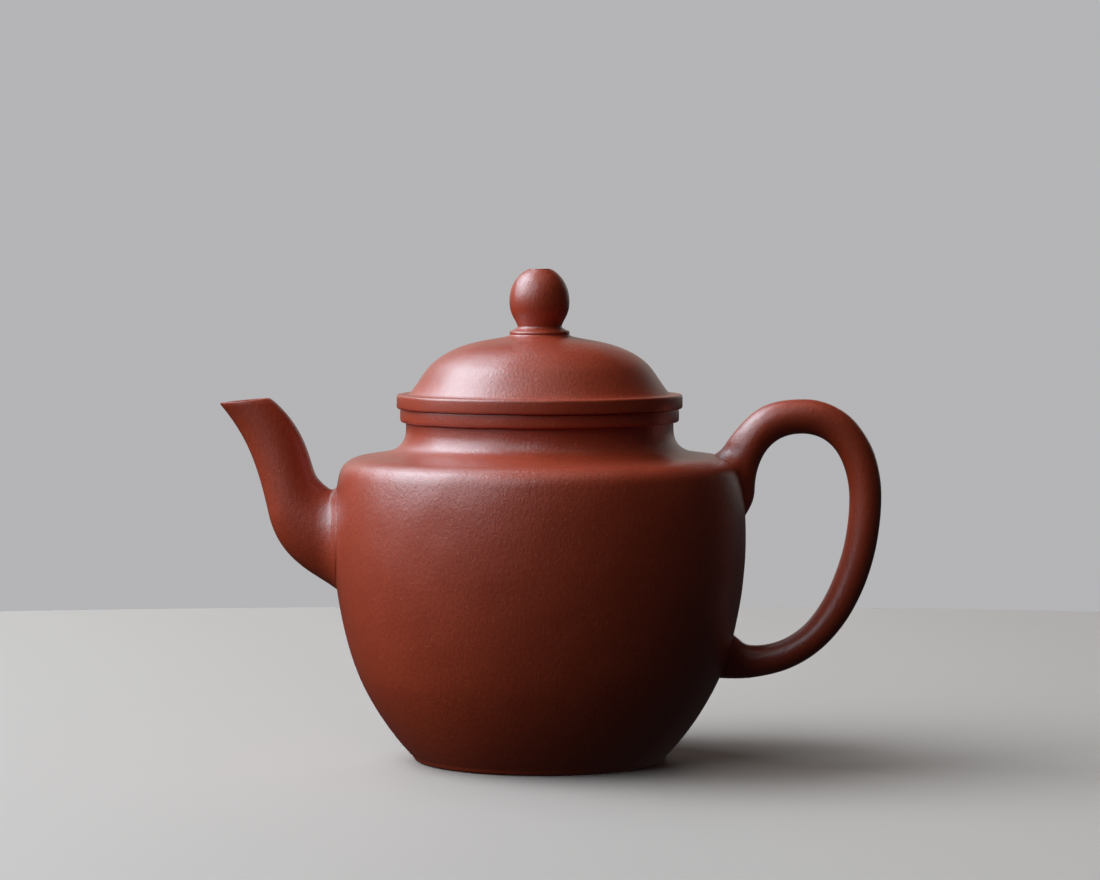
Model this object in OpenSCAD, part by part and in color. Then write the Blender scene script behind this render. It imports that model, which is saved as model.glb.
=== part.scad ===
// A small stoneware teapot: round drum body, flat shoulder, short neck, domed lid with a
// ball knob, swan-neck spout and ear-shaped handle.
// Origin: centre of the base, on the pot's axis. +Z up, spout towards -X, handle towards +X.
// Units: millimetres.

/* [Body] */
// Widest diameter of the drum
body_d = 87.6; // [85:0.2:90]
// Height of the widest line above the table
body_waist_z = 47; // [46:0.5:48]
// Height of the shoulder, where its flat top starts
shoulder_z = 64.6; // [64:0.2:66]
// Diameter of the flat base, measured at its rounded edge
base_d = 54.6; // [52:0.2:57]
// Thickness of the drum's wall
wall = 2.8; // [2.4:0.1:3.2]
// Thickness of the floor
floor_t = 3.2; // [2.8:0.1:4]

/* [Neck and mouth] */
// Outer diameter of the neck
neck_d = 56.8; // [55.6:0.2:58]
// Thickness of the neck's wall
neck_wall = 3; // [2.6:0.1:3.4]
// Outer diameter of the flat ring round the mouth
mouth_ring_d = 59.2; // [58.4:0.2:60]
// Height of the mouth ring's lower face
mouth_ring_z = 71.8; // [71.2:0.1:72.4]
// Thickness of the mouth ring
mouth_ring_t = 2.9; // [2.4:0.1:3.4]

/* [Lid] */
// Outer diameter of the lid's rim
lid_d = 60.7; // [60:0.1:61.6]
// Thickness of the lid's rim
lid_rim_t = 3; // [2.6:0.1:3.4]
// Height of the dome above the rim
dome_h = 12.2; // [11.4:0.1:13]
// Thickness of the dome
lid_wall = 2.8; // [2.4:0.1:3]
// Depth of the collar that hangs into the neck
collar_h = 7.8; // [6:0.2:9]
// Thickness of the collar
collar_t = 2.4; // [2:0.1:2.8]
// Gap all round between the collar and the neck
collar_gap = 0.25; // [0.15:0.05:0.4]

/* [Knob] */
// Diameter of the ball
knob_d = 12.8; // [12:0.1:13.4]
// Height of the ball above its ring
knob_h = 12.1; // [11.4:0.1:12.8]
// Diameter of the air hole through the knob and the lid
vent_d = 2.4; // [1.6:0.1:3]

/* [Spout] */
// Inside size of the spout at its root, as a share of its outside size
spout_bore_root = 0.84; // [0.8:0.01:0.85]
// Inside size of the spout at its tip, as a share of its outside size
spout_bore_tip = 0.66; // [0.6:0.01:0.72]
// Diameter of the round opening in the wall behind the spout
opening_d = 13; // [12:0.2:13.2]
// Height of the middle of that opening
opening_z = 46.5; // [46:0.1:47]
// Diameter of each hole in the strainer
strainer_hole_d = 1.5; // [1:0.1:1.7]

/* [Handle] */
// Width of the handle, measured across the pot
handle_w = 7; // [6:0.1:8]

/* [Hidden] */
$fn = 96;

clay = "#8f4433";
clay_light = "#a4523f";
clay_dark = "#7b392b";

waist_r = body_d / 2;
base_r = base_d / 2;
neck_r = neck_d / 2;
mouth_r = neck_r - neck_wall;
mouth_z = mouth_ring_z + mouth_ring_t;
rim_z = mouth_z + lid_rim_t;
lid_r = lid_d / 2;
collar_r = mouth_r - collar_gap;
collar_in_r = collar_r - collar_t;
vent_r = vent_d / 2;
seat_r = 6.9;
seat_z = rim_z + dome_h;
knob_ring_h = 2.2;
knob_z = seat_z + knob_ring_h;
floor_seat_r = base_r - 2.5;

steps = 6;
loft_sides = 28;
loft_steps = 9;

// ---- Curves ----
// A knot is [x, z, heading, pull before it, pull after it]: the curve passes through the knot
// along the heading, and the pulls are the lengths of its tangent arms.

function spot(k) = [k[0], k[1]];
function along(angle) = [cos(angle), sin(angle)];
function bezier(a, b, c, d, t) =
    pow(1 - t, 3) * a + 3 * pow(1 - t, 2) * t * b + 3 * (1 - t) * t * t * c + pow(t, 3) * d;
function span(j, k, t) =
    bezier(spot(j), spot(j) + j[4] * along(j[2]), spot(k) - k[3] * along(k[2]), spot(k), t);
function trace(knots, n) = [
    for (k = [0 : len(knots) - 2], i = [0 : n - 1]) span(knots[k], knots[k + 1], i / n),
    spot(knots[len(knots) - 1])
];
function shifted(knots, dx, dz) = [for (k = knots) [k[0] + dx, k[1] + dz, k[2], k[3], k[4]]];
function mirrored(knots) = [for (k = knots) [-k[0], k[1], 180 - k[2], k[3], k[4]]];
function slice(list, a, b) = [for (i = [a : b]) list[i]];
function reversed(list) = [for (i = [len(list) - 1 : -1 : 0]) list[i]];
function left_of(points, i) =
    let (d = points[min(i + 1, len(points) - 1)] - points[max(i - 1, 0)]) [-d[1], d[0]] / norm(d);
function inset(points, t) = [for (i = [0 : len(points) - 1]) points[i] + t * left_of(points, i)];

// ---- Outline of the pot, from the base's edge up to the mouth ring ----

lower_wall = [0.873 * waist_r, 0.37 * body_waist_z];
corner = [waist_r - 1.3, shoulder_z - 3.8];
shoulder = [waist_r - 6.3, shoulder_z];
neck_z = mouth_ring_z - 1.3;

pot_knots = [
    [base_r - 1.1, 0, 0, 0, 0.6],
    [base_r, 1.1, 46, 0.5, 6.1],
    [lower_wall[0], lower_wall[1], 66, 6.2, 6.2],
    [waist_r, body_waist_z, 90, 12, 4.5],
    [corner[0], corner[1], 103.5, 4.5, 2.4],
    [shoulder[0], shoulder[1], 172.5, 2.5, 4.9],
    [neck_r, neck_z, 90, 5.1, 0]
];
outline = trace(pot_knots, steps);
lining = inset(outline, wall);
// Points where the wall ends at the shoulder plate, and the plate ends at the neck
corner_i = 4 * steps;
neck_i = corner_i + steps + steps / 2;
top_i = len(outline) - 1;

module revolved(points) {
    rotate_extrude() polygon(points);
}

// Everything inside the pot's outer skin, up to the neck
module pot_solid() {
    revolved(concat([[0, 0]], outline, [[0, neck_z]]));
}

// ---- Pot ----

module spout_opening() {
    translate([-waist_r - wall, 0, opening_z])
        rotate([0, 90, 0])
            cylinder(d = opening_d, h = 4 * wall);
}

module body_wall() {
    inside = [for (p = slice(lining, 0, corner_i)) if (p[1] > floor_t) p];
    ring = concat([[floor_seat_r, 0]], slice(outline, 0, corner_i), reversed(inside),
                  [[floor_seat_r, floor_t]]);
    color(clay)
        difference() {
            revolved(ring);
            spout_opening();
        }
}

module base_disc() {
    color(clay_dark)
        cylinder(r = floor_seat_r, h = floor_t);
}

module shoulder_plate() {
    color(clay_light)
        revolved(concat(slice(outline, corner_i, neck_i), reversed(slice(lining, corner_i, neck_i))));
}

module neck() {
    color(clay)
        revolved(concat(slice(outline, neck_i, top_i),
                        [[neck_r, mouth_ring_z], [mouth_r, mouth_ring_z], [mouth_r, neck_z]],
                        reversed(slice(lining, neck_i, top_i - 1))));
}

// A quarter circle of the given radius round a centre, from an angle on
arc_steps = 4;
function quarter(centre, radius, from) =
    [for (i = [0 : arc_steps]) centre + radius * along(from + 90 * i / arc_steps)];

// A flat ring with rounded outer edges
module rim_ring(inner_r, outer_r, z, t, low_round, top_round) {
    low = quarter([outer_r - low_round, z + low_round], low_round, -90);
    top = quarter([outer_r - top_round, z + t - top_round], top_round, 0);
    revolved(concat([[inner_r, z]], low, top, [[inner_r, z + t]]));
}

mouth_low_round = 0.6;
mouth_top_round = 0.3;

module mouth_ring() {
    color(clay_light)
        rim_ring(mouth_r, mouth_ring_d / 2, mouth_ring_z, mouth_ring_t, mouth_low_round, mouth_top_round);
}

// ---- Lofts: the spout and the handle are rows of ellipses between two edge curves ----

function ring_points(outer, inner, width, share) =
    let (middle = (outer + inner) / 2, half = share * (inner - outer) / 2, side = share * width / 2)
    [for (i = [0 : loft_sides - 1])
        let (a = 360 * i / loft_sides)
        [middle[0] + cos(a) * half[0], side * sin(a), middle[1] + cos(a) * half[1]]];

// How far out of the pot's skin a point is
skin_table = [for (p = outline) [p[1], p[0]]];
function skin_gap(p) = norm([p[0], p[1]]) - lookup(p[2], skin_table);

// Widens a ring of points near the skin, most at its sides
function spread(points, amount, reach) = [
    for (i = [0 : loft_sides - 1])
        let (p = points[i], near = max(0, 1 - max(0, skin_gap(p)) / reach))
        p + [0, amount * pow(near, 3) * sin(360 * i / loft_sides), 0]
];

function joined(rows) = [for (row = rows) each row];

// Faces between consecutive rings of points
function skin_faces(rings, first) = [
    for (r = [0 : rings - 2], i = [0 : loft_sides - 1])
        let (a = first + r * loft_sides, j = (i + 1) % loft_sides)
        each [[a + i, a + j, a + loft_sides + j], [a + i, a + loft_sides + j, a + loft_sides + i]]
];
function flipped(faces) = [for (f = faces) [f[2], f[1], f[0]]];

module loft(rows) {
    rings = len(rows);
    last = (rings - 1) * loft_sides;
    faces = concat(skin_faces(rings, 0),
                   [for (i = [1 : loft_sides - 2]) [i + 1, i, 0]],
                   [for (i = [1 : loft_sides - 2]) [last, last + i, last + i + 1]]);
    polyhedron(joined(rows), faces);
}

module tube_loft(outer_rows, inner_rows) {
    rings = len(outer_rows);
    bore = rings * loft_sides;
    last = (rings - 1) * loft_sides;
    faces = concat(skin_faces(rings, 0), flipped(skin_faces(rings, bore)),
                   [for (i = [0 : loft_sides - 1])
                       let (j = (i + 1) % loft_sides)
                       each [[j, i, bore + i], [j, bore + i, bore + j],
                             [last + i, last + j, bore + last + j],
                             [last + i, bore + last + j, bore + last + i]]]);
    polyhedron(concat(joined(outer_rows), joined(inner_rows)), faces);
}

// Spout edges, as distances outwards from the pot's widest line
spout_low_edge = mirrored(shifted([
    [-2.8, 34.3, 47, 0, 6.7],
    [13.8, 52.3, 77.4, 12, 11.7],
    [24.2, 75.8, 50, 8.8, 0]
], waist_r, 0));
spout_high_edge = mirrored(shifted([
    [-2.2, 56.4, 12, 0, 2.3],
    [3.3, 59.8, 50, 2.6, 3.1],
    [13.4, 76.9, 39, 11.1, 0]
], waist_r, 0));
spout_root_w = 15.6;
spout_tip_w = 8.4;
spout_spread = 2.2;
spout_spread_reach = 5;
function spout_w(s) = spout_root_w + (spout_tip_w - spout_root_w) * s;

module spout() {
    low = trace(spout_low_edge, loft_steps);
    high = trace(spout_high_edge, loft_steps);
    n = len(low) - 1;
    color(clay_light)
        difference() {
            tube_loft([for (i = [0 : n])
                          spread(ring_points(low[i], high[i], spout_w(i / n), 1),
                                 spout_spread, spout_spread_reach)],
                      [for (i = [0 : n])
                          ring_points(low[i], high[i], spout_w(i / n),
                                      spout_bore_root + (spout_bore_tip - spout_bore_root) * i / n)]);
            pot_solid();
        }
}

// The strainer is a round of clay set in the opening and pierced with rings of holes
strainer_t = 1.9;
strainer_x = waist_r - 1.2;
strainer_pitch = 2.6;

module strainer() {
    color(clay_dark)
        translate([-strainer_x, 0, opening_z])
            rotate([0, 90, 0])
                difference() {
                    cylinder(d = opening_d, h = strainer_t);
                    for (ring = [0 : 2], i = [0 : max(6 * ring, 1) - 1])
                        rotate([0, 0, 60 * i / max(ring, 1)])
                            translate([ring * strainer_pitch, 0, -1])
                                cylinder(d = strainer_hole_d, h = strainer_t + 2, $fn = 24);
                }
}

// Handle edges, as distances outwards from the pot's widest line
handle_outer_edge = shifted([
    [-7.8, 62.5, 35, 0, 2],
    [-3.1, 68.8, 51, 2.4, 6.7],
    [12.3, 76.6, 0, 8.6, 9.8],
    [28.8, 55.9, -90, 11.7, 14],
    [11.2, 20.1, -153, 13.5, 3.2],
    [2, 17.4, -171, 4.1, 3],
    [-7.8, 17.3, -182, 3.8, 0]
], waist_r, 0);
handle_inner_edge = shifted([
    [-0.6, 50.9, 61, 0, 3.2],
    [1.9, 57.7, 88, 3.1, 5.1],
    [11.9, 69.3, 0, 7.4, 6.7],
    [22, 55.2, -90, 7.8, 11.7],
    [11.2, 27.4, -143, 7, 4],
    [2.4, 24.2, -180, 2.6, 3.2],
    [-3.3, 27, -213, 3.8, 0]
], waist_r, 0);

// The handle swells towards its upper root and spreads a little where it leaves the pot
handle_swell = 3;
handle_swell_share = 0.42;
handle_spread = 1.6;
handle_spread_reach = 3.5;
function handle_width(s) =
    handle_w + handle_swell * pow(max(0, 1 - pow(s / handle_swell_share, 2)), 2);

module handle() {
    outer = trace(handle_outer_edge, loft_steps);
    inner = trace(handle_inner_edge, loft_steps);
    n = len(outer) - 1;
    color(clay_light)
        difference() {
            loft([for (i = [0 : n])
                     spread(ring_points(outer[i], inner[i], handle_width(i / n), 1),
                            handle_spread, handle_spread_reach)]);
            pot_solid();
        }
}

// ---- Lid ----

dome_knots = [
    [lid_r - 2.3, rim_z, 180, 0, 0.9],
    [lid_r - 7.4, rim_z + 6.3, 136, 2.6, 6.6],
    [seat_r, seat_z, 168, 5.2, 0]
];

lid_low_round = 0.4;
lid_top_round = 0.5;

module lid_rim() {
    color(clay)
        rim_ring(collar_in_r, lid_r, mouth_z, lid_rim_t, lid_low_round, lid_top_round);
}

module lid_dome() {
    dome = trace(dome_knots, 2 * steps);
    hollow = slice(inset(dome, lid_wall), 2 * steps, len(dome) - 1);
    crown = hollow[len(hollow) - 1];
    color(clay_light)
        revolved(concat(dome, [[vent_r, seat_z], [vent_r, crown[1]]], reversed(hollow),
                        [[collar_in_r, rim_z]]));
}

module lid_collar() {
    translate([0, 0, mouth_z - collar_h])
        color(clay_dark)
            difference() {
                cylinder(r = collar_r, h = collar_h);
                translate([0, 0, -1]) cylinder(r = collar_in_r, h = collar_h + 2);
            }
}

// Stepped ring under the knob: a foot, a thin bead and a cove up to the ball
knob_waist_r = 4.7;
knob_ring_knots = [
    [seat_r, 0, 135, 0, 0.2],
    [6.4, 0.35, 90, 0.2, 0.1],
    [6.25, 0.5, 30, 0.1, 0.2],
    [6.25, 1.1, 140, 0.25, 0.3],
    [5.6, 1.35, 150, 0.2, 0.4],
    [knob_waist_r, knob_ring_h, 95, 0.5, 0]
];

module knob_ring() {
    color(clay)
        translate([0, 0, seat_z])
            revolved(concat([[vent_r, 0]], trace(knob_ring_knots, 3), [[vent_r, knob_ring_h]]));
}

knob_flat_r = 2.3;
knob_knots = [
    [knob_waist_r, 0, 73, 0, 1.5],
    [knob_d / 2, 5.2, 90, 2.8, 3.7],
    [knob_flat_r, knob_h, 155, 2.3, 0]
];

module knob() {
    color(clay_light)
        translate([0, 0, knob_z])
            revolved(concat([[vent_r, 0]], trace(knob_knots, 2 * steps), [[vent_r, knob_h]]));
}

body_wall();
base_disc();
shoulder_plate();
neck();
mouth_ring();
spout();
strainer();
handle();
lid_rim();
lid_dome();
lid_collar();
knob_ring();
knob();
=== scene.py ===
"""A red stoneware teapot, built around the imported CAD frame. Sizes are in millimetres, and
meshes are made in metres."""

import math

import bmesh
import bpy
import numpy as np
from mathutils import Matrix, Vector

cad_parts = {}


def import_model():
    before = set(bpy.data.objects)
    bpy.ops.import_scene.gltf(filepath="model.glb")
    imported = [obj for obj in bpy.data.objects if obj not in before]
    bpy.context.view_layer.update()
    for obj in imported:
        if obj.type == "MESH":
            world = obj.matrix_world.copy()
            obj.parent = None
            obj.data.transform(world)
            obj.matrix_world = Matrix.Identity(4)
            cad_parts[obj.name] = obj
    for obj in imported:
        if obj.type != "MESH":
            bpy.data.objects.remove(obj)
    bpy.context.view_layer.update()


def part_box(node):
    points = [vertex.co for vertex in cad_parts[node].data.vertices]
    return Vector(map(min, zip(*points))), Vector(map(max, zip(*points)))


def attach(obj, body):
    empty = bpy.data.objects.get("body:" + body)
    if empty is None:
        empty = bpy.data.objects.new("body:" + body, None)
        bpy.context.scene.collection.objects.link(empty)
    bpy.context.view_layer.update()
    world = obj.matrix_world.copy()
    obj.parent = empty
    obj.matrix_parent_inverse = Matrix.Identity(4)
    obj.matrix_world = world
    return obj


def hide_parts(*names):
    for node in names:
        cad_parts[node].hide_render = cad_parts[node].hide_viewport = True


MM = 0.001
SIDES = 192
ROW = 0.45
SHARP = math.radians(34)
AT_ONCE = 4000  # points measured against the outline in one go, to spare memory

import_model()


# ---- Sizes, from the frame ----


def node_box(name):
    low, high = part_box(name)
    return np.array(low) / MM, np.array(high) / MM


wall_box = node_box("body_wall")
neck_box = node_box("neck")
mouth_box = node_box("mouth_ring")
rim_box = node_box("lid_rim")
collar_box = node_box("lid_collar")
knob_ring_box = node_box("knob_ring")
knob_box = node_box("knob")
base_box = node_box("base_disc")
strainer_box = node_box("strainer")

waist_r = wall_box[1][1]
corner_z = wall_box[1][2]
corner_r = waist_r - 1.3
floor_r = base_box[1][0]
floor_t = base_box[1][2]
base_r = floor_r + 2.5
waist_z = 47.0
wall_t = 2.8
neck_r = 28.4
neck_z = mouth_box[0][2] - 1.3
mouth_in_r = neck_r - 3.0
mouth_r = mouth_box[1][0]
mouth_z0 = mouth_box[0][2]
mouth_z1 = mouth_box[1][2]
rim_r = rim_box[1][0]
rim_z0 = rim_box[0][2]
rim_z1 = rim_box[1][2]
seat_z = knob_ring_box[0][2]
seat_r = 6.9
knob_z = knob_box[0][2]
knob_top = knob_box[1][2]
knob_r = knob_box[1][0]
collar_r = collar_box[1][0]
collar_t = 2.4
collar_in_r = collar_r - collar_t
dome_t = 2.8
dome_bend_rise = 6.3
collar_z = collar_box[0][2]
vent_r = 1.2
opening_r = strainer_box[1][1]
opening_z = (strainer_box[0][2] + strainer_box[1][2]) / 2


# ---- Curves ----
# A knot is (x, z, heading, pull before it, pull after it).


def along(angle):
    a = math.radians(angle)
    return np.array([math.cos(a), math.sin(a)])


def span(j, k, t):
    a = np.array(j[:2])
    d = np.array(k[:2])
    b = a + j[4] * along(j[2])
    c = d - k[3] * along(k[2])
    t = np.asarray(t)[..., None]
    return (1 - t) ** 3 * a + 3 * (1 - t) ** 2 * t * b + 3 * (1 - t) * t**2 * c + t**3 * d


def curve_at(knots, s):
    """Points of the curve at shares s of its way, each span taking the same share."""
    s = np.clip(np.asarray(s, float), 0, 1) * (len(knots) - 1)
    out = np.zeros(s.shape + (2,))
    for k in range(len(knots) - 1):
        here = (s >= k) & (s <= k + 1)
        out[here] = span(knots[k], knots[k + 1], s[here] - k)
    return out


def trace(knots, step=ROW):
    """Points along the curve, about step apart, with every knot among them."""
    out = []
    for j, k in zip(knots[:-1], knots[1:]):
        rough = span(j, k, np.linspace(0, 1, 24))
        length = np.linalg.norm(np.diff(rough, axis=0), axis=1).sum()
        n = max(3, round(length / step))
        out.append(span(j, k, np.arange(n) / n))
    return np.vstack(out + [np.array([knots[-1][:2]])])


def outward(points):
    """Unit normals to the right of the way along."""
    d = np.gradient(points, axis=0)
    n = np.stack([d[:, 1], -d[:, 0]], axis=1)
    return n / np.linalg.norm(n, axis=1)[:, None]


def rounded(corners, steps=5):
    """A closed outline from (r, z, rounding) corners."""
    out = []
    count = len(corners)
    for i, (r, z, size) in enumerate(corners):
        here = np.array([r, z])
        if size == 0:
            out.append(here[None])
            continue
        before = np.array(corners[i - 1][:2]) - here
        after = np.array(corners[(i + 1) % count][:2]) - here
        a = here + size * before / np.linalg.norm(before)
        b = here + size * after / np.linalg.norm(after)
        t = np.linspace(0, 1, steps + 1)[:, None]
        out.append((1 - t) ** 2 * a + 2 * (1 - t) * t * here + t**2 * b)
    return np.vstack(out)


# ---- Outline of the pot ----

pot_knots = [
    (base_r - 1.1, 0, 0, 0, 0.6),
    (base_r, 1.1, 46, 0.5, 6.1),
    (0.873 * waist_r, 0.37 * waist_z, 66, 6.2, 6.2),
    (waist_r, waist_z, 90, 12, 4.5),
    (corner_r, corner_z, 103.5, 4.5, 2.4),
    (waist_r - 6.3, corner_z + 3.8, 172.5, 2.5, 4.9),
    (neck_r, neck_z, 90, 5.1, 0),
]
pot_line = trace(pot_knots)
pot_normals = outward(pot_line)
lining = pot_line - wall_t * pot_normals


def row_near(z, line=pot_line):
    return int(np.argmin(np.abs(line[:, 1] - z)))


corner_row = row_near(corner_z)
neck_row = row_near(neck_box[1][2] - 5.0)


def skin_distance(points):
    """Distance in mm of points outside the pot's skin, negative inside it."""
    rz = np.stack([np.hypot(points[..., 0], points[..., 1]), points[..., 2]], axis=-1)
    flat = rz.reshape(-1, 2)
    a = pot_line[:-1]
    d = pot_line[1:] - a
    out = np.empty(len(flat))
    for first in range(0, len(flat), AT_ONCE):
        p = flat[first : first + AT_ONCE, None]
        t = np.clip(((p - a) * d).sum(-1) / (d * d).sum(-1), 0, 1)
        gap = p - (a + t[..., None] * d)
        dist = np.linalg.norm(gap, axis=-1)
        i = dist.argmin(axis=1)
        rows = np.arange(len(i))
        side = (gap[rows, i] * np.stack([d[i, 1], -d[i, 0]], axis=1)).sum(-1)
        out[first : first + AT_ONCE] = np.where(side >= 0, 1, -1) * dist[rows, i]
    return out.reshape(points.shape[:-1])


# ---- Hand-made unevenness: a few soft waves, the same for every piece, so seams stay closed ----

UNEVEN = 0.022
UNEVEN_SHRINK = 2.5 * UNEVEN  # keeps the high spots inside the CAD skin
WAVES = 36
WAVE_LENGTHS = (6, 15)
FLAT_UP_TO = 1
FULL_AFTER = 4
chance = np.random.default_rng(7)
wave_ways = chance.normal(size=(WAVES, 3))
wave_ways /= np.linalg.norm(wave_ways, axis=1)[:, None]
waves = wave_ways * 2 * math.pi / chance.uniform(*WAVE_LENGTHS, WAVES)[:, None]
wave_starts = chance.uniform(0, 2 * math.pi, WAVES)


def off_floor(z):
    """0 at the flat foot, growing to 1 a little way above it."""
    return np.clip((z - FLAT_UP_TO) / FULL_AFTER, 0, 1)


def uneven(points):
    """Depth of the unevenness at each point, and how it changes with the place."""
    height = UNEVEN * math.sqrt(2 / WAVES) * off_floor(points[:, 2])
    turns = points @ waves.T + wave_starts
    depth = height * np.sin(turns).sum(axis=1)
    return depth - UNEVEN_SHRINK, height[:, None] * (np.cos(turns) @ waves)


def push_ways(points):
    """Directions the unevenness moves each point in: outwards and up."""
    r = np.maximum(np.hypot(points[:, 0], points[:, 1]), 1e-6)
    return np.stack([points[:, 0] / r, points[:, 1] / r, off_floor(points[:, 2])], axis=1)


# ---- Mesh making ----


def make_piece(name, verts, faces, body, node):
    mesh = bpy.data.meshes.new(name)
    verts = np.array(verts, float)
    verts += uneven(verts)[0][:, None] * push_ways(verts)
    mesh.from_pydata([tuple(v) for v in verts * MM], [], faces)
    mesh.validate()
    piece = bpy.data.objects.new(name, mesh)
    bpy.context.scene.collection.objects.link(piece)
    mesh.materials.append(clay)
    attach(piece, body)
    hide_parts(node)
    return piece


def smooth(piece):
    """Smooth shading, with an edge wherever the surface turns sharply."""
    mesh = piece.data
    mesh.polygons.foreach_set("use_smooth", [True] * len(mesh.polygons))
    mesh.set_sharp_from_angle(angle=SHARP)


def lathe_data(outline, sides=SIDES):
    """Vertices and faces of a closed (r, z) outline, outer side on the right, turned round Z."""
    turn = 2 * math.pi * np.arange(sides) / sides
    verts = []
    rows = []
    for r, z in outline:
        if r < 1e-6:
            rows.append([len(verts)] * sides)
            verts.append((0.0, 0.0, z))
        else:
            rows.append(list(range(len(verts), len(verts) + sides)))
            verts.extend(zip(r * np.cos(turn), r * np.sin(turn), np.full(sides, z)))
    faces = []
    for i in range(len(rows)):
        low = rows[i]
        top = rows[(i + 1) % len(rows)]
        if low[0] == low[1] and top[0] == top[1]:
            continue
        for j in range(sides):
            k = (j + 1) % sides
            face = [low[j], low[k], top[k], top[j]]
            faces.append(list(dict.fromkeys(face)))
    return verts, faces


def lathe(name, outline, body, node, sides=SIDES):
    verts, faces = lathe_data(outline, sides)
    piece = make_piece(name, verts, faces, body, node)
    smooth(piece)
    return piece


ON_SKIN = 0.2
SAME_WAY = 0.9


def follow_pot_line(piece):
    """Gives the faces on the pot's skin the true normals of its outline, so luted seams don't show."""
    mesh = piece.data
    count = len(mesh.vertices)
    co = np.empty(count * 3)
    mesh.vertices.foreach_get("co", co)
    co = co.reshape(-1, 3) / MM
    on_skin = np.abs(skin_distance(co)) < ON_SKIN
    r = np.hypot(co[:, 0], co[:, 1])
    near = np.empty(count, int)
    for first in range(0, count, AT_ONCE):
        rz = np.stack([r, co[:, 2]], axis=1)[first : first + AT_ONCE, None]
        near[first : first + AT_ONCE] = np.linalg.norm(rz - pot_line, axis=-1).argmin(axis=1)
    flat = pot_normals[near]
    true = np.stack([flat[:, 0] * co[:, 0] / r, flat[:, 0] * co[:, 1] / r, flat[:, 1]], axis=1)
    true -= (push_ways(co) * true).sum(axis=1)[:, None] * uneven(co)[1]
    true /= np.linalg.norm(true, axis=1)[:, None]
    corners = np.empty(len(mesh.loops) * 3)
    mesh.corner_normals.foreach_get("vector", corners)
    corners = corners.reshape(-1, 3)
    for face in mesh.polygons:
        ids = list(face.vertices)
        if all(on_skin[ids]) and np.dot(face.normal, true[ids].mean(axis=0)) > SAME_WAY:
            for loop in face.loop_indices:
                corners[loop] = true[mesh.loops[loop].vertex_index]
    mesh.normals_split_custom_set([tuple(n) for n in corners])


def cut(piece, verts, faces):
    """Cuts a closed shape out of piece."""
    mesh = bpy.data.meshes.new("cutter")
    mesh.from_pydata([tuple(v) for v in np.asarray(verts) * MM], [], faces)
    cutter = bpy.data.objects.new("cutter", mesh)
    bpy.context.scene.collection.objects.link(cutter)
    modifier = piece.modifiers.new("cut", "BOOLEAN")
    modifier.operation = "DIFFERENCE"
    modifier.solver = "EXACT"
    modifier.object = cutter
    bpy.context.view_layer.update()
    seen = piece.evaluated_get(bpy.context.evaluated_depsgraph_get())
    result = bpy.data.meshes.new_from_object(seen)
    piece.modifiers.clear()
    old = piece.data
    piece.data = result
    bpy.data.meshes.remove(old)
    bpy.data.objects.remove(cutter)
    bpy.data.meshes.remove(mesh)
    result.name = piece.name
    smooth(piece)


def rod(centre, radius, x0, x1, sides=48):
    """A closed cylinder along X, as vertices and faces."""
    turn = 2 * math.pi * np.arange(sides) / sides
    y = centre[0] + radius * np.cos(turn)
    z = centre[1] + radius * np.sin(turn)
    verts = [(x, a, b) for x in (x0, x1) for a, b in zip(y, z)]
    faces = [[j, (j + 1) % sides, sides + (j + 1) % sides, sides + j] for j in range(sides)]
    faces.append(list(range(sides))[::-1])
    faces.append(list(range(sides, 2 * sides)))
    return verts, faces


# ---- Material ----


CLAY_DARK = (0.41, 0.038, 0.008, 1)
CLAY_LIGHT = (0.47, 0.048, 0.011, 1)
CLAY_GRAIN = (0.28, 0.024, 0.006, 1)
CLAY_SPECK = (0.58, 0.17, 0.080, 1)


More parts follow.
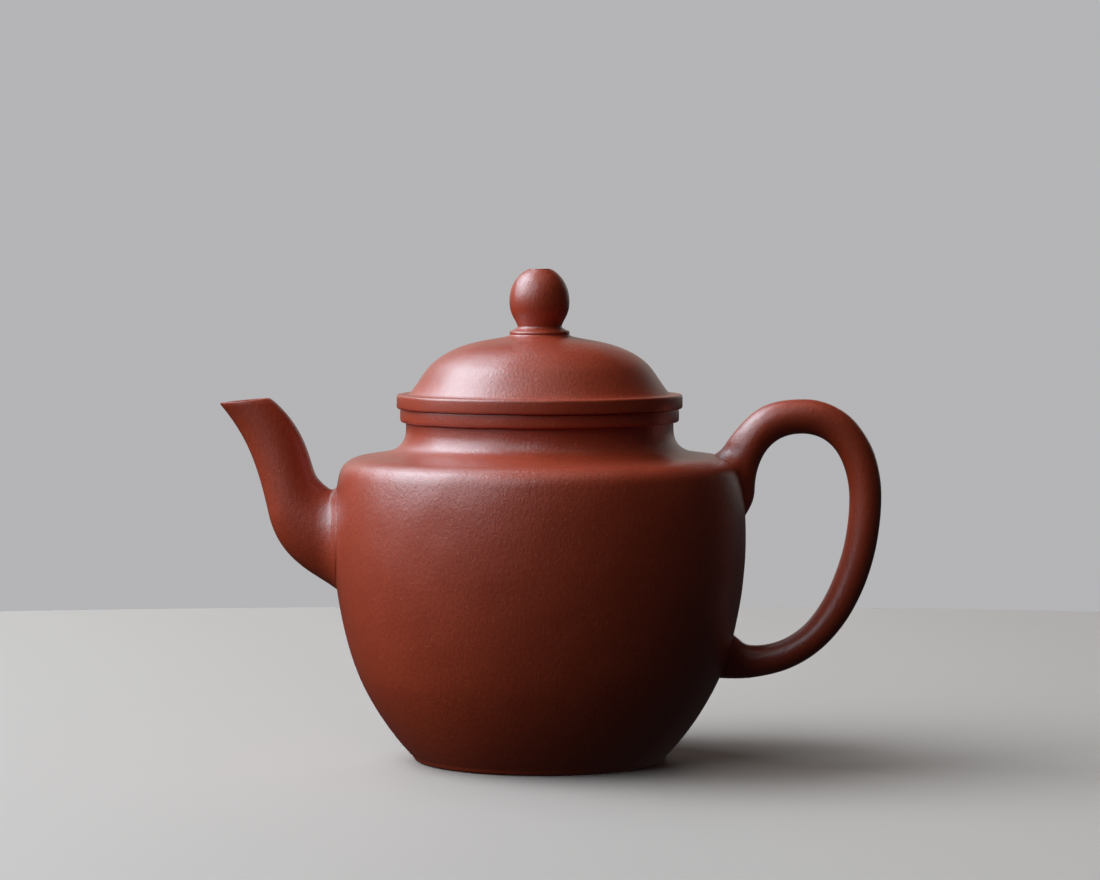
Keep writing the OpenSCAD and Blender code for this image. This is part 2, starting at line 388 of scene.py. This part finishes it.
def clay_material():
    mat = bpy.data.materials.new("clay")
    mat.use_nodes = True
    nodes = mat.node_tree.nodes
    links = mat.node_tree.links
    shader = nodes["Principled BSDF"]

    def add(kind, **values):
        made = nodes.new(kind)
        for key, value in values.items():
            if hasattr(made, key):
                setattr(made, key, value)
            else:
                made.inputs[key.replace("_", " ")].default_value = value
        return made

    place = add("ShaderNodeTexCoord").outputs["Object"]

    def noise(scale, detail, rough=0.5):
        n = add("ShaderNodeTexNoise", Scale=scale, Detail=detail, Roughness=rough)
        links.new(place, n.inputs["Vector"])
        return n.outputs["Fac"]

    def ramp(value, low, high, low_to=0.0, high_to=1.0):
        n = add("ShaderNodeMapRange", From_Min=low, From_Max=high, To_Min=low_to, To_Max=high_to)
        links.new(value, n.inputs["Value"])
        return n.outputs["Result"]

    def mixed(share, a, b):
        n = nodes.new("ShaderNodeMix")
        n.data_type = "RGBA"
        for socket, value in ((0, share), (6, a), (7, b)):
            if isinstance(value, (float, tuple)):
                n.inputs[socket].default_value = value
            else:
                links.new(value, n.inputs[socket])
        return n.outputs[2]

    cloud = ramp(noise(70, 4), 0.3, 0.7)
    grain = ramp(noise(1500, 3, 0.6), 0.34, 0.66)
    colour = mixed(cloud, CLAY_DARK, CLAY_LIGHT)
    colour = mixed(ramp(grain, 0.0, 1.0, 0.0, 0.5), colour, CLAY_GRAIN)
    sand = add("ShaderNodeTexVoronoi", Scale=1100)
    links.new(place, sand.inputs["Vector"])
    apart = add("ShaderNodeSeparateColor")
    links.new(sand.outputs["Color"], apart.inputs["Color"])
    rare = ramp(apart.outputs["Red"], 0.93, 0.94)
    small = ramp(sand.outputs["Distance"], 0.28, 0.16)
    both = add("ShaderNodeMath", operation="MULTIPLY")
    links.new(rare, both.inputs[0])
    links.new(small, both.inputs[1])
    colour = mixed(ramp(both.outputs[0], 0, 1, 0, 0.4), colour, CLAY_SPECK)
    links.new(colour, shader.inputs["Base Color"])

    shader.inputs["Roughness"].default_value = 0.5
    shader.inputs["IOR"].default_value = 1.5
    shader.inputs["Coat Weight"].default_value = 1.0
    shader.inputs["Coat Roughness"].default_value = 0.3
    shader.inputs["Coat IOR"].default_value = 1.5

    tall = add("ShaderNodeMapping", Scale=(1, 1, 0.55))
    links.new(place, tall.inputs["Vector"])
    satin = add("ShaderNodeTexNoise", Scale=1600, Detail=2, Roughness=0.5)
    links.new(tall.outputs["Vector"], satin.inputs["Vector"])
    peel = add("ShaderNodeBump", Strength=1.0, Distance=0.00006)
    links.new(satin.outputs["Fac"], peel.inputs["Height"])
    fine = add("ShaderNodeBump", Strength=1.0, Distance=0.00004)
    links.new(noise(3400, 2), fine.inputs["Height"])
    links.new(peel.outputs["Normal"], fine.inputs["Normal"])
    links.new(fine.outputs["Normal"], shader.inputs["Normal"])
    links.new(fine.outputs["Normal"], shader.inputs["Coat Normal"])
    return mat


clay = clay_material()


# ---- Pot ----


def body_wall():
    inside = lining[: corner_row + 1]
    inside = inside[inside[:, 1] > floor_t + 0.3]
    outline = np.vstack(
        [
            [[floor_r, 0]],
            pot_line[: corner_row + 1],
            inside[::-1],
            [[floor_r, floor_t]],
        ]
    )
    piece = lathe("pot_wall", outline, "pot", "body_wall")
    cut(piece, *rod((0, opening_z), opening_r, -waist_r - 3, -waist_r + 8))
    follow_pot_line(piece)


def base_disc():
    outline = np.array([[0, 0], [floor_r, 0], [floor_r, floor_t], [0, floor_t]])
    lathe("pot_base", outline, "pot", "base_disc")


def shoulder_plate():
    outer = pot_line[corner_row : neck_row + 1]
    inner = lining[corner_row : neck_row + 1]
    piece = lathe("pot_shoulder", np.vstack([outer, inner[::-1]]), "pot", "shoulder_plate")
    follow_pot_line(piece)


def neck():
    outer = pot_line[neck_row:]
    inner = lining[neck_row:-1]
    top = [[neck_r, mouth_z0], [mouth_in_r, mouth_z0], [mouth_in_r, neck_z]]
    piece = lathe("pot_neck", np.vstack([outer, top, inner[::-1]]), "pot", "neck")
    follow_pot_line(piece)


def mouth_ring():
    outline = rounded(
        [
            (mouth_in_r, mouth_z0, 0),
            (mouth_r, mouth_z0, 0.7),
            (mouth_r, mouth_z1, 0.35),
            (mouth_in_r, mouth_z1, 0.4),
        ]
    )
    lathe("pot_mouth_ring", outline, "pot", "mouth_ring")


# ---- Spout and handle: ellipses between two edge curves ----


def shifted(knots, mirror=False):
    """Knots given as distances outwards from the pot's widest line."""
    if mirror:
        return [(-x - waist_r, z, 180 - h, a, b) for x, z, h, a, b in knots]
    return [(x + waist_r, z, h, a, b) for x, z, h, a, b in knots]


def loft_point(low, high, width, s, angle, share):
    """Point of the loft at share s of the way, and at an angle round the ellipse."""
    a = curve_at(low, s)
    b = curve_at(high, s)
    middle = (a + b) / 2
    half = (b - a) / 2 * np.asarray(share)[..., None]
    ring = middle + half * np.cos(angle)[..., None]
    side = width(s) / 2 * share * np.sin(angle)
    return np.stack([ring[..., 0], side, ring[..., 1]], axis=-1)


SEARCH_STEPS = 600


def leaving_skin(low, high, width, angles, share, depth, far_end=False):
    """For each angle, the share of the way where the loft comes out of the pot, less depth."""
    s = np.linspace(0, 1, SEARCH_STEPS)
    if far_end:
        s = s[::-1]
    grid_s, grid_a = np.meshgrid(s, angles, indexing="ij")
    d = skin_distance(loft_point(low, high, width, grid_s, grid_a, np.full(grid_s.shape, share)))
    out = []
    for j in range(len(angles)):
        first = int(np.argmax(d[:, j] > -depth))
        prev = max(first - 1, 0)
        a = d[prev, j]
        b = d[first, j]
        t = 0 if first == prev else (-depth - a) / (b - a)
        out.append(s[prev] + t * (s[first] - s[prev]))
    return np.array(out)


def spread(points, angles, amount, reach):
    """Widens a loft near the pot, most at its sides."""
    near = 1 - np.clip(skin_distance(points), 0, reach) / reach
    out = points.copy()
    out[..., 1] += amount * near**3 * np.sin(angles)
    return out


PROBE = 0.05


def fillet(points, low, high, s, angles, amount, reach, weight):
    """Draws a loft out along the pot's skin where they meet, by a weight at each angle."""
    d = skin_distance(points)
    climb = [skin_distance(points + PROBE * np.eye(3)[i]) - d for i in range(3)]
    slope = np.stack(climb, axis=-1)
    slope /= np.linalg.norm(slope, axis=-1)[..., None]
    across = curve_at(high, s) - curve_at(low, s)
    across /= np.linalg.norm(across, axis=-1)[..., None]
    cos = np.cos(angles)
    out = np.stack([across[..., 0] * cos, np.sin(angles), across[..., 1] * cos], axis=-1)
    out -= (out * slope).sum(axis=-1)[..., None] * slope
    near = (1 - np.clip(d, 0, reach) / reach) ** 3
    return points + (amount * near * weight)[..., None] * out


SPOUT_LOW = shifted(
    [(-2.8, 34.3, 47, 0, 6.7), (13.8, 52.3, 77.4, 12, 11.7), (24.2, 75.8, 50, 8.8, 0)],
    mirror=True,
)
SPOUT_HIGH = shifted(
    [(-2.2, 56.4, 12, 0, 2.3), (3.3, 59.8, 50, 2.6, 3.1), (13.4, 76.9, 39, 11.1, 0)],
    mirror=True,
)
SPOUT_ROOT_WIDTH = 15.6
SPOUT_TIP_WIDTH = 8.4
SPOUT_SPREAD = 2.0
SPOUT_SPREAD_REACH = 5.0
SPOUT_FILLET = 1.2
SPOUT_FILLET_REACH = 1.8
SPOUT_SIDES = 96
SPOUT_ROWS = 110
SPOUT_SUNK = 0.5
LIP = 0.018
BORE_ROOT = 0.84
BORE_TIP = 0.66


def spout_width(s):
    return SPOUT_ROOT_WIDTH + (SPOUT_TIP_WIDTH - SPOUT_ROOT_WIDTH) * s


def grid_faces(rows, sides):
    faces = []
    for i in range(rows - 1):
        for j in range(sides):
            k = (j + 1) % sides
            a = i * sides
            b = a + sides
            faces.append([a + j, a + k, b + k, b + j])
    return faces


def spout():
    sides = SPOUT_SIDES
    angles = 2 * math.pi * np.arange(sides) / sides
    u = np.linspace(0, 1, SPOUT_ROWS) ** 1.25

    def skin(bore):
        edge = BORE_ROOT if bore else 1.0
        start = leaving_skin(SPOUT_LOW, SPOUT_HIGH, spout_width, angles, edge, SPOUT_SUNK)
        s = start + (1 - LIP - start) * u[:, None]
        a = np.broadcast_to(angles, s.shape)
        share = BORE_ROOT + (BORE_TIP - BORE_ROOT) * s if bore else np.ones(s.shape)
        points = loft_point(SPOUT_LOW, SPOUT_HIGH, spout_width, s, a, share)
        if bore:
            return points
        points = spread(points, a, SPOUT_SPREAD, SPOUT_SPREAD_REACH)
        weight = np.clip(0.5 + np.cos(a), 0, 1)
        return fillet(points, SPOUT_LOW, SPOUT_HIGH, s, a, SPOUT_FILLET, SPOUT_FILLET_REACH, weight)

    def lip_ring(s, share):
        one = np.full(sides, s)
        return loft_point(SPOUT_LOW, SPOUT_HIGH, spout_width, one, angles, np.full(sides, share))

    outer = skin(False)
    inner = skin(True)
    lips = [
        lip_ring(1 - 0.45 * LIP, 0.992),
        lip_ring(1 - 0.1 * LIP, 0.972),
        lip_ring(1, 0.94),
        lip_ring(1, 0.84),
        lip_ring(1, BORE_TIP + 0.06),
        lip_ring(1 - 0.1 * LIP, BORE_TIP + 0.022),
        lip_ring(1 - 0.45 * LIP, BORE_TIP + 0.006),
    ]
    loops = np.vstack([outer, np.array(lips), inner[::-1]])
    count = len(loops)
    faces = grid_faces(count, sides)
    last = (count - 1) * sides
    for j in range(sides):
        k = (j + 1) % sides
        faces.append([last + j, last + k, k, j])
    piece = make_piece("pot_spout", loops.reshape(-1, 3), faces, "pot", "spout")
    tidy_normals(piece)
    smooth(piece)


def tidy_normals(piece):
    bm = bmesh.new()
    bm.from_mesh(piece.data)
    bmesh.ops.recalc_face_normals(bm, faces=bm.faces)
    bm.to_mesh(piece.data)
    bm.free()


HOLE_RINGS = 3
HOLE_GAP = 2.6
HOLE_R = 0.75


def strainer():
    x0 = strainer_box[0][0]
    x1 = strainer_box[1][0]
    piece = make_piece("pot_strainer", *rod((0, opening_z), opening_r, x0, x1, 96), "pot", "strainer")
    for ring in range(HOLE_RINGS):
        holes = max(6 * ring, 1)
        for i in range(holes):
            a = 2 * math.pi * i / holes
            away = HOLE_GAP * ring
            centre = (away * math.cos(a), opening_z + away * math.sin(a))
            cut(piece, *rod(centre, HOLE_R, x0 - 1, x1 + 1, 20))
    smooth(piece)


HANDLE_OUTER = shifted(
    [
        (-7.8, 62.5, 35, 0, 2),
        (-3.1, 68.8, 51, 2.4, 6.7),
        (12.3, 76.6, 0, 8.6, 9.8),
        (28.8, 55.9, -90, 11.7, 14),
        (11.2, 20.1, -153, 13.5, 3.2),
        (2, 17.4, -171, 4.1, 3),
        (-7.8, 17.3, -182, 3.8, 0),
    ]
)
HANDLE_INNER = shifted(
    [
        (-0.6, 50.9, 61, 0, 3.2),
        (1.9, 57.7, 88, 3.1, 5.1),
        (11.9, 69.3, 0, 7.4, 6.7),
        (22, 55.2, -90, 7.8, 11.7),
        (11.2, 27.4, -143, 7, 4),
        (2.4, 24.2, -180, 2.6, 3.2),
        (-3.3, 27, -213, 3.8, 0),
    ]
)


HANDLE_SIDES = 64
HANDLE_ROWS = 240
HANDLE_SUNK = 0.4
HANDLE_WIDTH = 7.0
HANDLE_SWELL = 3.0
HANDLE_SWELL_SHARE = 0.42
HANDLE_FILLET = 1.3
HANDLE_FILLET_REACH = 3.5


def handle_width(s):
    near = np.clip(1 - (s / HANDLE_SWELL_SHARE) ** 2, 0, 1)
    return HANDLE_WIDTH + HANDLE_SWELL * near**2


def handle():
    sides = HANDLE_SIDES
    angles = 2 * math.pi * np.arange(sides) / sides
    edges = (HANDLE_OUTER, HANDLE_INNER, handle_width, angles, 1.0, HANDLE_SUNK)
    start = leaving_skin(*edges)
    end = leaving_skin(*edges, far_end=True)
    u = np.linspace(0, 1, HANDLE_ROWS)[:, None]
    s = start + (end - start) * u
    a = np.broadcast_to(angles, s.shape)
    points = loft_point(HANDLE_OUTER, HANDLE_INNER, handle_width, s, a, np.ones(s.shape))
    weight = np.clip(0.7 - np.cos(a), 0, 1) * (s < 0.5)
    points = fillet(points, HANDLE_OUTER, HANDLE_INNER, s, a, HANDLE_FILLET, HANDLE_FILLET_REACH, weight)
    faces = grid_faces(HANDLE_ROWS, sides)
    last = (HANDLE_ROWS - 1) * sides
    faces.append(list(range(sides))[::-1])
    faces.append(list(range(last, last + sides)))
    piece = make_piece("pot_handle", points.reshape(-1, 3), faces, "pot", "handle")
    tidy_normals(piece)
    smooth(piece)


# ---- Lid ----

dome_knots = [
    (rim_r - 2.3, rim_z1, 180, 0, 0.9),
    (rim_r - 7.4, rim_z1 + dome_bend_rise, 136, 2.6, 6.6),
    (seat_r, seat_z, 168, 5.2, 0),
]


def lid_rim():
    outline = rounded(
        [
            (collar_in_r, rim_z0, 0),
            (rim_r, rim_z0, 0.5),
            (rim_r, rim_z1, 0.6),
            (collar_in_r, rim_z1, 0),
        ]
    )
    lathe("lid_plate", outline, "lid", "lid_rim")


def lid_dome():
    line = trace(dome_knots)
    middle = row_near(rim_z1 + dome_bend_rise, line)
    hollow = (line - dome_t * outward(line))[middle:]
    outline = np.vstack(
        [line, [[vent_r, seat_z], [vent_r, hollow[-1][1]]], hollow[::-1], [[collar_in_r, rim_z1]]]
    )
    lathe("lid_dome_shell", outline, "lid", "lid_dome")


def lid_collar():
    outline = rounded(
        [
            (collar_in_r, collar_z, 0.5),
            (collar_r, collar_z, 0.5),
            (collar_r, rim_z0, 0),
            (collar_in_r, rim_z0, 0),
        ]
    )
    lathe("lid_collar_ring", outline, "lid", "lid_collar")


def knob_ring():
    high = knob_ring_box[1][2] - seat_z
    knots = [
        (seat_r, 0, 135, 0, 0.2),
        (6.4, 0.35, 90, 0.2, 0.1),
        (6.25, 0.5, 30, 0.1, 0.2),
        (6.25, 1.1, 140, 0.25, 0.3),
        (5.6, 1.35, 150, 0.2, 0.4),
        (4.7, high, 95, 0.5, 0),
    ]
    line = trace(knots, 0.12) + [0, seat_z]
    outline = np.vstack([[[vent_r, seat_z]], line, [[vent_r, seat_z + high]]])
    lathe("lid_knob_ring", outline, "lid", "knob_ring")


def knob():
    high = knob_top - knob_z
    knots = [(4.7, 0, 73, 0, 1.5), (knob_r, 5.2, 90, 2.8, 3.7), (2.3, high, 155, 2.3, 0)]
    line = trace(knots, 0.2) + [0, knob_z]
    edge = rounded([(2.3, high, 0.2), (vent_r, high, 0.35), (vent_r, 0, 0)]) + [0, knob_z]
    outline = np.vstack([[[vent_r, knob_z]], line[:-2], edge[:-1]])
    lathe("lid_knob", outline, "lid", "knob", 128)


for make in (
    body_wall,
    base_disc,
    shoulder_plate,
    neck,
    mouth_ring,
    spout,
    strainer,
    handle,
    lid_rim,
    lid_dome,
    lid_collar,
    knob_ring,
    knob,
):
    make()


# ---- Stage, light and camera ----


def plain_material(name, colour, rough):
    mat = bpy.data.materials.new(name)
    mat.use_nodes = True
    shader = mat.node_tree.nodes["Principled BSDF"]
    shader.inputs["Base Color"].default_value = (*colour, 1)
    shader.inputs["Roughness"].default_value = rough
    return mat


FLOOR_RADIUS = 880.0
FLOOR_FAR_EDGE = 330.0
FLOOR_Z = -0.1


def floor():
    turn = 2 * math.pi * np.arange(256) / 256
    middle = FLOOR_FAR_EDGE - FLOOR_RADIUS
    x = FLOOR_RADIUS * np.cos(turn)
    y = middle + FLOOR_RADIUS * np.sin(turn)
    verts = np.stack([x, y, np.full(len(turn), FLOOR_Z)], axis=1) * MM
    mesh = bpy.data.meshes.new("floor")
    mesh.from_pydata([tuple(v) for v in verts], [], [list(range(len(turn)))])
    mesh.materials.append(plain_material("floor", (0.55, 0.42, 0.37), 0.6))
    disc = bpy.data.objects.new("floor", mesh)
    bpy.context.scene.collection.objects.link(disc)
    disc.visible_diffuse = False
    disc.visible_glossy = False


LIGHT_TINT = (0.74, 0.97, 1.10)
WALL_TINT = (1.0, 0.90, 0.82)
LIGHT_AIM = (0, 0, 0.05)


def area_light(name, azimuth, height, distance, size, radiance, lean=0, tint=LIGHT_TINT):
    """A soft light at angles seen from the pot, azimuth 0 being towards the camera."""
    data = bpy.data.lights.new(name, "AREA")
    data.shape = "RECTANGLE"
    data.size = size[0]
    data.size_y = size[1]
    data.energy = radiance * math.pi * size[0] * size[1]
    data.color = tint
    light = bpy.data.objects.new(name, data)
    a = math.radians(azimuth)
    e = math.radians(height)
    away = Vector((math.sin(a) * math.cos(e), -math.cos(a) * math.cos(e), math.sin(e)))
    light.location = Vector(LIGHT_AIM) + distance * away
    facing = away.to_track_quat("Z", "Y").to_matrix()
    light.rotation_euler = (facing @ Matrix.Rotation(math.radians(lean), 3, "Z")).to_euler()
    light.visible_camera = False
    bpy.context.scene.collection.objects.link(light)


def world():
    made = bpy.data.worlds.new("studio")
    bpy.context.scene.world = made
    made.use_nodes = True
    nodes = made.node_tree.nodes
    links = made.node_tree.links
    back = nodes["Background"]
    path = nodes.new("ShaderNodeLightPath")
    mix = nodes.new("ShaderNodeMix")
    mix.data_type = "RGBA"
    links.new(path.outputs["Is Camera Ray"], mix.inputs[0])
    mix.inputs[6].default_value = (0.015, 0.015, 0.015, 1)
    mix.inputs[7].default_value = (0.46, 0.46, 0.47, 1)
    links.new(mix.outputs[2], back.inputs["Color"])


CAMERA_DISTANCE = 0.7925
CAMERA_HEIGHT = 0.1106
CAMERA_SIDE = 0.0022
CAMERA_TILT = 3.086
SENSOR = 36.0
LENS = 122.45


def camera():
    data = bpy.data.cameras.new("camera")
    data.sensor_width = SENSOR
    data.lens = LENS
    data.clip_start = 0.01
    eye = bpy.data.objects.new("camera", data)
    eye.location = (CAMERA_SIDE, -CAMERA_DISTANCE, CAMERA_HEIGHT)
    eye.rotation_euler = (math.radians(90 - CAMERA_TILT), 0, 0)
    bpy.context.scene.collection.objects.link(eye)
    bpy.context.scene.camera = eye


floor()
world()
area_light("window", -88, 39, 1.2, (0.84, 1.25), 4.35, 28)
area_light("window_back", -125, 50, 1.2, (0.9, 0.9), 2.6)
area_light("window_glow", -69, 41, 1.3, (2.3, 1.3), 2.0)
area_light("ceiling", 0, 80, 1.2, (0.8, 0.8), 0.4, tint=WALL_TINT)
area_light("wall_glow", 178, 14, 1.2, (1.9, 0.6), 0.38, tint=WALL_TINT)
camera()
bpy.context.scene.view_settings.view_transform = "Standard"
